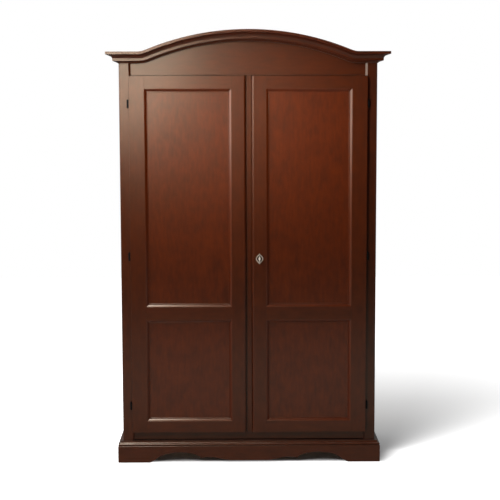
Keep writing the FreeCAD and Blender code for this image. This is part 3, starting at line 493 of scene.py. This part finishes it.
# The frame boards' dark, matt edges are painted shade for the joint lines.
FRAMED = dict(mottle=0.55, figure=0.32, edge_colour=DARK_PORE_AND_SHADE, edge_width=0.0022, worn=0.8)
MOULDED = dict(mottle=0.45, figure=0.25, worn=0.4)
PANELLED = dict(mottle=0.85, figure=0.45)
WAXED = dict(
    mottle=0.45, figure=0.30, rings=0.07, pore_and_shade_colour=BROWN_PORE_AND_SHADE,
    rough=0.62, coat=0.0, dusty=0.2, shine=0.4,
)

finishes = {}
for along in "XYZ":
    finishes["frame", along] = wood_finish(
        f"stained_frame_{along}", along, red_brown, **STAINED, **FRAMED
    )
    finishes["moulding", along] = wood_finish(
        f"stained_moulding_{along}", along, panel_brown, **STAINED, **MOULDED
    )
    finishes["inner", along] = wood_finish(f"waxed_inner_{along}", along, plain_brown, **WAXED)
finishes["panel", "Z"] = wood_finish("stained_panel", "Z", panel_brown, **STAINED, **PANELLED)
# The mouldings get stronger painted shade in their corners, darkening the channels round the
# panels.
for side, group in mitre_groups.items():
    finishes["moulding", side] = wood_finish(
        f"stained_{side}_mitres", group, panel_brown, **STAINED, **MOULDED, corner_shade=0.9
    )
print("wood finishes", len(finishes))

# %% [markdown]
# ## The metals
# Old metal is dark with tarnish in its corners, bright on its rubbed edges, spotted and
# finely scratched. The groups above find corners and edges from the shape itself, so one
# maker serves every fitting. A fitting may be left dark between two depths, for a field
# that is sunk into its face.

# %% Metal material maker
tarnish, given, result = new_group(
    "metal_tarnish", [("Place", VECTOR, None)], [("Spots", VALUE), ("Scratches", VALUE)]
)
patches = cloud(tarnish, given.outputs["Place"], scale=240.0, detail=5.0, roughness=0.7)
spots = ramped(tarnish, patches, 0.42, 0.68)
drawn = stretched(tarnish, given.outputs["Place"], 0.06)
lines = cloud(tarnish, drawn, scale=2600.0, detail=2.0)
feed(tarnish, result, Spots=spots, Scratches=lines)


METAL_EDGE = 0.0008
METAL_CORNER = 0.004
TARNISH_ROUGH = 0.25
SCRATCH_ROUGH = 0.12


def metal_finish(
    name,
    bright,
    dark,
    rough,
    spotting,
    edge_share,
    metallic=1.0,
    sunk_field=None,
    shine=0.5,
):
    """A worn metal. A sunk field is a pair of depths between which the metal is left dark."""
    material = bpy.data.materials.new(name)
    material.use_nodes = True
    tree = material.node_tree
    tree.nodes.clear()
    where = add(tree, "ShaderNodeTexCoord").outputs["Object"]
    age = use_group(tree, tarnish, Place=where)
    edge = use_group(tree, edges, Place=where, Width=METAL_EDGE).outputs[0]
    corner = use_group(tree, corners, Place=where, Reach=METAL_CORNER).outputs[0]
    spotted = calc(tree, "MULTIPLY", age.outputs["Spots"], spotting)
    amount = calc(tree, "ADD", spotted, corner, clamp=True)
    if sunk_field:
        parts = add(tree, "ShaderNodeSeparateXYZ")
        feed(tree, parts, Vector=where)
        sunk = ramped(tree, parts.outputs["Y"], *sunk_field)
        amount = calc(tree, "MAXIMUM", amount, sunk)
    shade = blended(tree, amount, bright, dark)
    shade = blended(tree, calc(tree, "MULTIPLY", edge, edge_share), shade, bright)
    gloss = calc(tree, "ADD", calc(tree, "MULTIPLY", amount, TARNISH_ROUGH), rough)
    scratched = around(tree, age.outputs["Scratches"], SCRATCH_ROUGH)
    gloss = calc(tree, "ADD", gloss, scratched, clamp=True)
    bump = add(tree, "ShaderNodeBump")
    feed(tree, bump, Strength=0.1, Distance=0.0001, Height=age.outputs["Scratches"])
    shader = add(tree, "ShaderNodeBsdfPrincipled")
    feed(tree, shader, Base_Color=shade, Metallic=metallic, Roughness=gloss)
    feed(tree, shader, Specular_IOR_Level=shine, Normal=bump.outputs[0])
    output = add(tree, "ShaderNodeOutputMaterial")
    tree.links.new(shader.outputs[0], output.inputs[0])
    return material


print("metal maker ready")

# %% [markdown]
# The lock plate and the key are pale worn brass, and the plate is dark in the sunk field
# round its keyhole. The hinges are blackened iron, the lock is dull steel, and the bolts and
# the hanging rail are yellow brass. Steel and yellow brass are fully metallic. The pale
# brass has lost its polish and the iron is coated black, so they are metallic only in part
# or not at all, or they would just mirror a dark room.

# %% Cast the metals
plate_low, plate_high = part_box("escutcheon")
FIELD_DEPTHS = (plate_low[1] + 0.0010, plate_low[1] + 0.0018)
METALS = {
    "aged_brass": dict(
        bright=colour(0.56, 0.46, 0.36), dark=colour(0.012, 0.007, 0.004),
        rough=0.30, spotting=0.30, edge_share=0.8, metallic=0.25, sunk_field=FIELD_DEPTHS,
    ),
    "key_brass": dict(
        bright=colour(0.80, 0.72, 0.62), dark=colour(0.16, 0.11, 0.07),
        rough=0.26, spotting=0.25, edge_share=0.8, metallic=0.25,
    ),
    "fitting_brass": dict(
        bright=colour(0.62, 0.45, 0.20), dark=colour(0.16, 0.09, 0.035),
        rough=0.30, spotting=0.35, edge_share=0.6,
    ),
    "hinge_iron": dict(
        bright=colour(0.009, 0.008, 0.007), dark=colour(0.004, 0.0035, 0.003),
        rough=0.6, spotting=0.6, edge_share=0.3, metallic=0.0, shine=0.03,
    ),
    "lock_steel": dict(
        bright=colour(0.42, 0.41, 0.39), dark=colour(0.10, 0.085, 0.07),
        rough=0.38, spotting=0.5, edge_share=0.5,
    ),
}
for name, look in METALS.items():
    finishes[name] = metal_finish(name, **look)
print("metal finishes ready")

# %% [markdown]
# ## Finish every board and fitting
# Each node of the model gets the finish of its slot, with the grain along its length. The
# two numbers for the grain and the depth of stain are stored on the object itself: most
# boards differ a little, and those that are darker or quite even in the photograph have
# their own depth. The post, cornice return and plinth return on the right, and the right
# hinge stile, are darker than their twins on the left: painted shade on the side away from
# the lamps. Square boards also get their edges eased by a fraction of a millimetre, as
# sandpaper does, which catches a thin line of light.

# %% Assign the finishes
slots = {row["node"]: row["material_slot"] for row in frame["record"]["subparts"]}
WOOD_KIND = {
    "carcass_wood": "frame",
    "door_wood": "frame",
    "panel_wood": "panel",
    "moulding_wood": "moulding",
    "inner_wood": "inner",
}
GOLDEN_SHARE = 0.618034
USUAL_SPREAD = 0.08
EASED_WIDTH = 0.0006


def length_axis(name):
    """The axis that a node is longest along."""
    low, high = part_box(name)
    spans = [high[i] - low[i] for i in range(3)]
    return "XYZ"[spans.index(max(spans))]


def grain_axis(name):
    """Which way a node's grain runs."""
    if "mouldings" in name:
        return name.split("_")[0]
    if "panels" in name:
        return "Z"
    return length_axis(name)


# The right-hand post, cornice return, plinth return and hinge stile are darker: painted shade.
BOARD_STAIN_AND_SHADE = {
    "cornice_front": -0.32,
    "cornice_return_left": -0.25,
    "cornice_return_right": -0.32,
    "post_front_right": -0.18,
    "plinth_front": 0.0,
    "frieze_board": 0.0,
    "right_door_hinge_stile": -0.02,
    "right_door_meeting_stile": 0.0,
    "right_door_panels": 0.0,
    "plinth_return_right": -0.10,
    "left_door_panels": 0.0,
}


def own_numbers(piece, index):
    """Stores a board's own place in the grain and its own depth of stain, which is painted shade
    on some boards on the right.
    """
    share = (index * GOLDEN_SHARE) % 1.0
    piece["grain_shift"] = round(1.0 + share * 5.0, 4)
    usual_depth = round((((index * 7 + 3) % 11) / 10.0 - 0.5) * USUAL_SPREAD, 4)
    piece["stain_and_shade_depth"] = BOARD_STAIN_AND_SHADE.get(piece.name, usual_depth)


def ease_edges(piece, width):
    """Rounds the edges of a square board a little."""
    weld = piece.modifiers.new("joined_corners", "WELD")
    weld.merge_threshold = 0.00001
    bevel = piece.modifiers.new("eased_edges", "BEVEL")
    bevel.width = width
    bevel.segments = 2
    bevel.limit_method = "ANGLE"
    bevel.angle_limit = radians(40.0)
    bevel.use_clamp_overlap = True


eased = 0
for index, (name, piece) in enumerate(sorted(nodes.items())):
    slot_name = slots[name]
    kind = WOOD_KIND.get(slot_name)
    if kind is None:
        finish = finishes["key_brass" if name == "key" else slot_name]
    else:
        finish = finishes[kind, grain_axis(name)]
        own_numbers(piece, index)
    piece.material_slots[0].material = finish
    square = not any(face.use_smooth for face in piece.data.polygons)
    if kind is not None and square:
        ease_edges(piece, EASED_WIDTH)
        eased += 1
print("finished", len(nodes), "nodes, eased", eased)

# %% [markdown]
# ## Thin mouldings on the side frames
# A wardrobe with moulded doors has the same moulding round its side panels, and the solids
# leave it to this lesson because it is thin trim. A curve with a bevel profile would twist at
# square corners, so each frame is built by hand: its section stands at the four corners of
# the opening, leaning inwards at 45 degrees, and neighbouring corners are joined by faces.

# %% Lay the side mouldings
TRIM_SECTION = (
    (0.0, -0.0002), (0.0, 0.0120), (0.0003, 0.0125), (0.0010, 0.0127), (0.0040, 0.0102),
    (0.0080, 0.0062), (0.0125, 0.0020), (0.0131, 0.0026), (0.0145, 0.0032),
    (0.0160, 0.0030), (0.0170, 0.0020), (0.0175, 0.0008), (0.0180, 0.0006),
    (0.0180, -0.0002),
)
FIRST_TRIM_NUMBER = 61
SHARP_ANGLE = radians(35.0)


def new_piece(name, mesh_maker, body, finish):
    """A piece made in a bmesh, with its body and its finish."""
    shape = bmesh.new()
    mesh_maker(shape)
    bmesh.ops.recalc_face_normals(shape, faces=shape.faces)
    mesh = bpy.data.meshes.new(name)
    shape.to_mesh(mesh)
    shape.free()
    mesh.shade_smooth()
    mesh.set_sharp_from_angle(angle=SHARP_ANGLE)
    mesh.materials.append(finish)
    piece = bpy.data.objects.new(name, mesh)
    scene.collection.objects.link(piece)
    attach(piece, body)
    return piece


def swept_frame(shape, corners, section, outward):
    """A mitred frame inside four corners, from a section of (inwards, outwards) steps."""
    middle = sum(corners, Vector()) / 4
    rings = []
    for corner in corners:
        inward = Vector([(m > c) - (m < c) for m, c in zip(middle, corner)])
        rings.append([shape.verts.new(corner + inward * u + outward * h) for u, h in section])
    for first, second in zip(rings, rings[1:] + rings[:1]):
        for i in range(len(section)):
            j = (i + 1) % len(section)
            shape.faces.new((first[i], first[j], second[j], second[i]))


for number, (side, way) in enumerate((("left", -1), ("right", 1))):
    panel_low, panel_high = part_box(f"side_panels_{side}")
    face = panel_high[0] if way > 0 else panel_low[0]

    def both_frames(shape):
        """The frames round the lower and the upper panel of one side."""
        for low, high in (side_levels[:2], side_levels[2:]):
            plan = zip(side_edges + side_edges[::-1], (low, low, high, high))
            four = [Vector((face, y, z)) for y, z in plan]
            swept_frame(shape, four, TRIM_SECTION, Vector((way, 0.0, 0.0)))

    finish = finishes["moulding", "ends"]
    trim = new_piece(f"{side}_side_mouldings", both_frames, "carcass", finish)
    own_numbers(trim, FIRST_TRIM_NUMBER + number)
    print(trim.name, len(trim.data.polygons), "faces")

# %% [markdown]
# ## Screws and pins
# The lock and the bolts are screwed to the doors from behind, and two small pins hold the
# lock plate. A slotted head is a low disc with a saw cut across it, so it is made of a thin
# disc and two rounded halves that stand a little apart, each a stack of shrinking outlines.

# %% Screw maker
HALF_RINGS = ((1.0, 0.2), (1.0, 0.55), (0.93, 0.85), (0.74, 1.0))
DISC_RINGS = ((1.0, -0.3), (1.0, 0.3))
DOME_RINGS = ((1.0, -0.3), (1.0, 0.25), (0.88, 0.6), (0.62, 0.88), (0.3, 1.0))
HEAD_HEIGHT = 0.36
SLOT_HALF_ANGLE = asin(0.17)
FIRST_TURN = 0.5
NEXT_TURN = 2.1


def stack(shape, outline, rings, height, place):
    """A closed solid: an outline repeated at rings of (size, height), capped at both ends."""
    centre = sum(outline, Vector((0.0, 0.0))) / len(outline)
    layers = []
    for size, level in rings:
        flat = [centre + (point - centre) * size for point in outline]
        layers.append([shape.verts.new(place @ Vector((x, y, level * height))) for x, y in flat])
    shape.faces.new(layers[0][::-1])
    shape.faces.new(layers[-1])
    for lower, upper in zip(layers, layers[1:]):
        for i in range(len(outline)):
            j = (i + 1) % len(outline)
            shape.faces.new((lower[i], lower[j], upper[j], upper[i]))


def arc(radius, start, end, steps):
    """Points along part of a circle."""
    turns = [start + (end - start) * i / steps for i in range(steps + 1)]
    return [Vector((radius * cos(turn), radius * sin(turn))) for turn in turns]


def seat(place, facing, turn):
    """The place of a head that lies on a surface and faces away from it."""
    stand = Vector(facing).to_track_quat("Z", "Y").to_matrix().to_4x4()
    return Matrix.Translation(place) @ stand @ Matrix.Rotation(turn, 4, "Z")


def screw_head(shape, place, facing, radius, turn):
    """A slotted head."""
    base = seat(place, facing, turn)
    height = radius * HEAD_HEIGHT
    stack(shape, arc(radius, 0.0, 2 * pi, 24)[:-1], DISC_RINGS, height, base)
    start = SLOT_HALF_ANGLE
    stack(shape, arc(radius, start, pi - start, 12), HALF_RINGS, height, base)
    stack(shape, arc(radius, pi + start, 2 * pi - start, 12), HALF_RINGS, height, base)


def screws(name, body, finish, facing, radius, places):
    """All the screws of one fitting, as one piece. No two slots point the same way."""

    def heads(shape):
        for i, place in enumerate(places):
            screw_head(shape, Vector(place), facing, radius, FIRST_TURN + i * NEXT_TURN)

    new_piece(name, heads, body, finish)


print("screw maker ready")

# %% [markdown]
# Each screw stands a fixed margin inside the corners of its fitting, whose place is read
# from its box, so the screws follow if the fitting is ever moved in the model.

# %% Place the screws and pins


def inset(low, high, margin):
    """Two places, each a margin inside one end of a span."""
    return (low + margin, high - margin)


INWARDS = (0.0, 1.0, 0.0)
OUTWARDS = (0.0, -1.0, 0.0)
CASE_PLATE_THICKNESS = 0.0015
CASE_SIDE_MARGIN = 0.0032
CASE_END_MARGIN = 0.0035
brass = finishes["fitting_brass"]
lock_low, lock_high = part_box("lock_case")
case_low, case_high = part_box("bolt_cases")
door_back = lock_low[1]
case_face = door_back + CASE_PLATE_THICKNESS
case_sides = inset(case_low[0], case_high[0], CASE_SIDE_MARGIN)
case_levels = []
for bolt in ("bottom_bolt", "top_bolt"):
    bolt_low, bolt_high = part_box(bolt)
    case_levels += inset(bolt_low[2], bolt_high[2], CASE_END_MARGIN)
places = [(x, case_face, z) for x in case_sides for z in case_levels]
screws("bolt_case_screws", "left_door", brass, INWARDS, 0.0024, places)

LOCK_MARGIN = 0.006
lock_sides = inset(lock_low[0], lock_high[0], LOCK_MARGIN)
lock_levels = inset(lock_low[2], lock_high[2], LOCK_MARGIN)
places = [(x, lock_high[1], z) for x in lock_sides for z in lock_levels]
steel = finishes["lock_steel"]
screws("lock_case_screws", "right_door", steel, INWARDS, 0.0028, places)

KEEPER_MARGIN = 0.0035
KEEPER_THICKNESS = 0.0015
keep_low, keep_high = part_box("bolt_keepers")
keep_sides = inset(keep_low[0], keep_high[0], KEEPER_MARGIN)
keep_middle = (keep_low[1] + keep_high[1]) / 2
keep_levels = inset(keep_low[2], keep_high[2], KEEPER_THICKNESS)
for name, level, way in zip(("lower", "upper"), keep_levels, (1.0, -1.0)):
    places = [(x, keep_middle, level) for x in keep_sides]
    facing = (0.0, 0.0, way)
    screws(f"{name}_keeper_screws", "carcass", brass, facing, 0.0018, places)

PIN_RADIUS = 0.0014
PIN_HEIGHT = 0.0012
PIN_MARGIN = 0.0075
PIN_DEPTH = 0.0020


def plate_pins(shape):
    """Two round pins in the narrow ends of the lock plate."""
    outline = arc(PIN_RADIUS, 0.0, 2 * pi, 16)[:-1]
    middle = (plate_low[0] + plate_high[0]) / 2
    for z in inset(plate_low[2], plate_high[2], PIN_MARGIN):
        place = Vector((middle, plate_low[1] + PIN_DEPTH, z))
        stack(shape, outline, DOME_RINGS, PIN_HEIGHT, seat(place, OUTWARDS, 0.0))


new_piece("lock_plate_pins", plate_pins, "right_door", finishes["key_brass"])

# %% [markdown]
# ## The floor and the white room
# The wardrobe stands on a seamless white floor. A white that comes from strong lamps would
# bleach the wood, so the floor adds its own light for the camera only. That light grows
# with distance, is full in front and on the left, and stays low behind and on the right,
# where the lamp's real shadow lies, and its rise with distance paints that shadow fading
# outwards. Past a slanting line from the front foot the added light rises to full, which
# paints the shadow's right edge, softer as it goes back. In the lacquer the floor is dim
# near the doors, and brighter further out.

# %% Lay the floor
FLOOR_LOW = (-7.0, -4.4)
FLOOR_HIGH = (7.0, 7.0)
FLOOR_LEVEL = -0.0004
floor_mesh = bpy.data.meshes.new("studio_floor")
(x_low, y_low), (x_high, y_high) = FLOOR_LOW, FLOOR_HIGH
outline = [(x_low, y_low), (x_high, y_low), (x_high, y_high), (x_low, y_high)]
floor_mesh.from_pydata([(x, y, FLOOR_LEVEL) for x, y in outline], [], [(0, 1, 2, 3)])
floor = bpy.data.objects.new("studio_floor", floor_mesh)
scene.collection.objects.link(floor)
floor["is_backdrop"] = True

SHADE_CENTRE = (0.5, -0.2, 0.0)
GLOW_NEAR = 0.06
GLOW_REACH = 3.1
WHITE_IN_FRONT = (-0.225, -0.29)
WHITE_ON_LEFT = (-0.61, -0.66)
DARK_BEHIND = (0.45, 0.66)
EDGE_START = 0.71
EDGE_SLOPE = 0.39
EDGE_WIDTH = 0.22
EDGE_SPREAD = 1.2
LEAST_EDGE_WIDTH = 0.16

paper = bpy.data.materials.new("white_paper")
paper.use_nodes = True
tree = paper.node_tree
tree.nodes.clear()
where = add(tree, "ShaderNodeTexCoord").outputs["Object"]
spot = add(tree, "ShaderNodeSeparateXYZ")
feed(tree, spot, Vector=where)
x, y = spot.outputs["X"], spot.outputs["Y"]
away = calc_vector(tree, "LENGTH", calc_vector(tree, "SUBTRACT", where, SHADE_CENTRE))
# Painted shadow: the added light is low near the wardrobe and rises with distance, so the real
# shadow fades outwards.
glow = ramped(tree, away, 0.0, GLOW_REACH, GLOW_NEAR, 1.0, smooth=False)
glow = calc(tree, "MULTIPLY", glow, ramped(tree, x, *DARK_BEHIND))
# Painted shadow edge: past a slanting line from the front foot the added light rises to full, over
# a width that grows further back.
edge_place = calc(tree, "MULTIPLY_ADD", y, EDGE_SLOPE, EDGE_START)
edge_width = calc(tree, "MULTIPLY_ADD", y, EDGE_SPREAD, EDGE_WIDTH)
edge_width = calc(tree, "MAXIMUM", edge_width, LEAST_EDGE_WIDTH)
beyond = calc(tree, "DIVIDE", calc(tree, "SUBTRACT", x, edge_place), edge_width)
beyond = ramped(tree, beyond, 0.0, 1.0)
glow = calc(tree, "MULTIPLY_ADD", calc(tree, "SUBTRACT", 1.0, glow), beyond, glow)
open_floor = calc(
    tree, "MAXIMUM", ramped(tree, y, *WHITE_IN_FRONT), ramped(tree, x, *WHITE_ON_LEFT)
)
glow = calc(tree, "MAXIMUM", glow, open_floor)
print("floor laid")

# %% [markdown]
# The paper is a matt white with faint fibres. Light Path tells who is looking: the camera
# and rays through glass get the added light, and reflections get the dim floor instead, so
# the glow never reaches the lacquer.

# %% Paint the floor
PAPER_DARK = colour(0.84, 0.84, 0.84)
PAPER_LIGHT = colour(0.88, 0.88, 0.88)
WHITE = colour(1.0, 1.0, 1.0)
MIRROR_REACH = (-0.9, -1.7)
MIRROR_NEAR = 0.16
MIRROR_FAR = 0.285

ray = add(tree, "ShaderNodeLightPath")
seen = calc(tree, "MAXIMUM", ray.outputs["Is Camera Ray"], ray.outputs["Is Transmission Ray"])
fibres = cloud(tree, where, scale=60.0, detail=4.0)
shader = add(tree, "ShaderNodeBsdfPrincipled")
feed(tree, shader, Base_Color=blended(tree, fibres, PAPER_DARK, PAPER_LIGHT))
feed(tree, shader, Roughness=1.0, Specular_IOR_Level=0.0)
white = add(tree, "ShaderNodeEmission")
feed(tree, white, Color=WHITE, Strength=calc(tree, "MULTIPLY", glow, seen))
both = add(tree, "ShaderNodeAddShader")
tree.links.new(shader.outputs[0], both.inputs[0])
tree.links.new(white.outputs[0], both.inputs[1])
mirrored = add(tree, "ShaderNodeEmission")
mirror_level = ramped(tree, y, *MIRROR_REACH, MIRROR_NEAR, MIRROR_FAR)
feed(tree, mirrored, Color=WHITE, Strength=mirror_level)
choice = add(tree, "ShaderNodeMixShader")
tree.links.new(ray.outputs["Is Glossy Ray"], choice.inputs[0])
tree.links.new(both.outputs[0], choice.inputs[1])
tree.links.new(mirrored.outputs[0], choice.inputs[2])
output = add(tree, "ShaderNodeOutputMaterial")
tree.links.new(choice.outputs[0], output.inputs[0])
floor_mesh.materials.append(paper)
print("floor painted", paper.name)

# %% [markdown]
# ## The light
# The world is white to the camera. As a light it is a weak fill, weaker in front of the
# doors than behind them, and in reflections it is dark in front, because a dark room is
# what the lower lacquer mirrors. One large lamp high on the left lights the front, and two
# round lamps beside it stand where the upper doors mirror them, which makes their sheen.

# %% Fill the room
FILL_FRONT = 0.08
FILL_BEHIND = 0.4
FILL_HEADING = (0.0, 0.5)
GLOSS_FRONT = 0.0
GLOSS_BEHIND = 0.15
GLOSS_HEADING = (-0.1, 0.5)

world = bpy.data.worlds.new("white_room")
scene.world = world
world.use_nodes = True
tree = world.node_tree
tree.nodes.clear()
ray = add(tree, "ShaderNodeLightPath")
heading = add(tree, "ShaderNodeSeparateXYZ")
feed(tree, heading, Vector=add(tree, "ShaderNodeTexCoord").outputs["Generated"])
north = heading.outputs["Y"]
gloss_level = ramped(tree, north, *GLOSS_HEADING, GLOSS_FRONT, GLOSS_BEHIND)
fill_level = ramped(tree, north, *FILL_HEADING, FILL_FRONT, FILL_BEHIND)
level = calc(tree, "MULTIPLY", gloss_level, ray.outputs["Is Glossy Ray"])
other = calc(tree, "SUBTRACT", 1.0, ray.outputs["Is Glossy Ray"])
level = calc(tree, "ADD", level, calc(tree, "MULTIPLY", other, fill_level))
clear = calc(tree, "MAXIMUM", ray.outputs["Is Camera Ray"], ray.outputs["Is Transmission Ray"])
level = calc(tree, "MAXIMUM", level, clear)
backdrop = add(tree, "ShaderNodeBackground")
feed(tree, backdrop, Color=WHITE, Strength=level)
output = add(tree, "ShaderNodeOutputWorld")
tree.links.new(backdrop.outputs[0], output.inputs[0])
print("world", world.name)

# %% Hang the lamps
SPOT_RADIUS = 0.45
SPOT_BEAM = radians(30.0)
SPOT_PLACE = (-1.0, -2.4, 2.3)


def hung(name, lamp, place, target, power):
    """A lamp hung at a place and aimed at a point."""
    lamp.energy = power
    holder = bpy.data.objects.new(name, lamp)
    holder.visible_camera = False
    scene.collection.objects.link(holder)
    aim = (Vector(target) - Vector(place)).to_track_quat("-Z", "Y")
    holder.matrix_world = Matrix.Translation(place) @ aim.to_matrix().to_4x4()


def softbox(name, place, target, width, height, power):
    """A rectangular lamp."""
    lamp = bpy.data.lights.new(name, "AREA")
    lamp.shape = "RECTANGLE"
    lamp.size = width
    lamp.size_y = height
    hung(name, lamp, place, target, power)


def spot_lamp(name, target, power):
    """A round lamp whose beam fades out towards its edge."""
    lamp = bpy.data.lights.new(name, "SPOT")
    lamp.shadow_soft_size = SPOT_RADIUS
    lamp.spot_size = SPOT_BEAM
    lamp.spot_blend = 1.0
    hung(name, lamp, SPOT_PLACE, target, power)


softbox(
    "main_lamp", place=(-3.0, -6.9, 6.4), target=(0.0, -0.2, 1.0),
    width=3.4, height=3.4, power=385.0,
)
softbox(
    "window_lamp", place=(-3.4, -1.2, 2.1), target=(0.0, -0.3, 1.6),
    width=2.4, height=1.4, power=38.0,
)
softbox(
    "ceiling_lamp", place=(-1.3, -1.0, 3.6), target=(-1.3, -0.95, 0.0),
    width=1.4, height=1.4, power=72.0,
)
spot_lamp("upper_left_lamp", target=(-0.45, -0.26, 1.71), power=300.0)
spot_lamp("upper_middle_lamp", target=(0.20, -0.26, 1.80), power=400.0)

# %% [markdown]
# ## The two boxes
# The box of the imported model and the box of the visual model are both printed.

# %% Print the two boxes
visual_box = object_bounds()
boxes = {"cad": cad_box, "visual": visual_box}
boxes = {name: [list(map(float, corner)) for corner in box] for name, box in boxes.items()}
print("boxes", boxes)
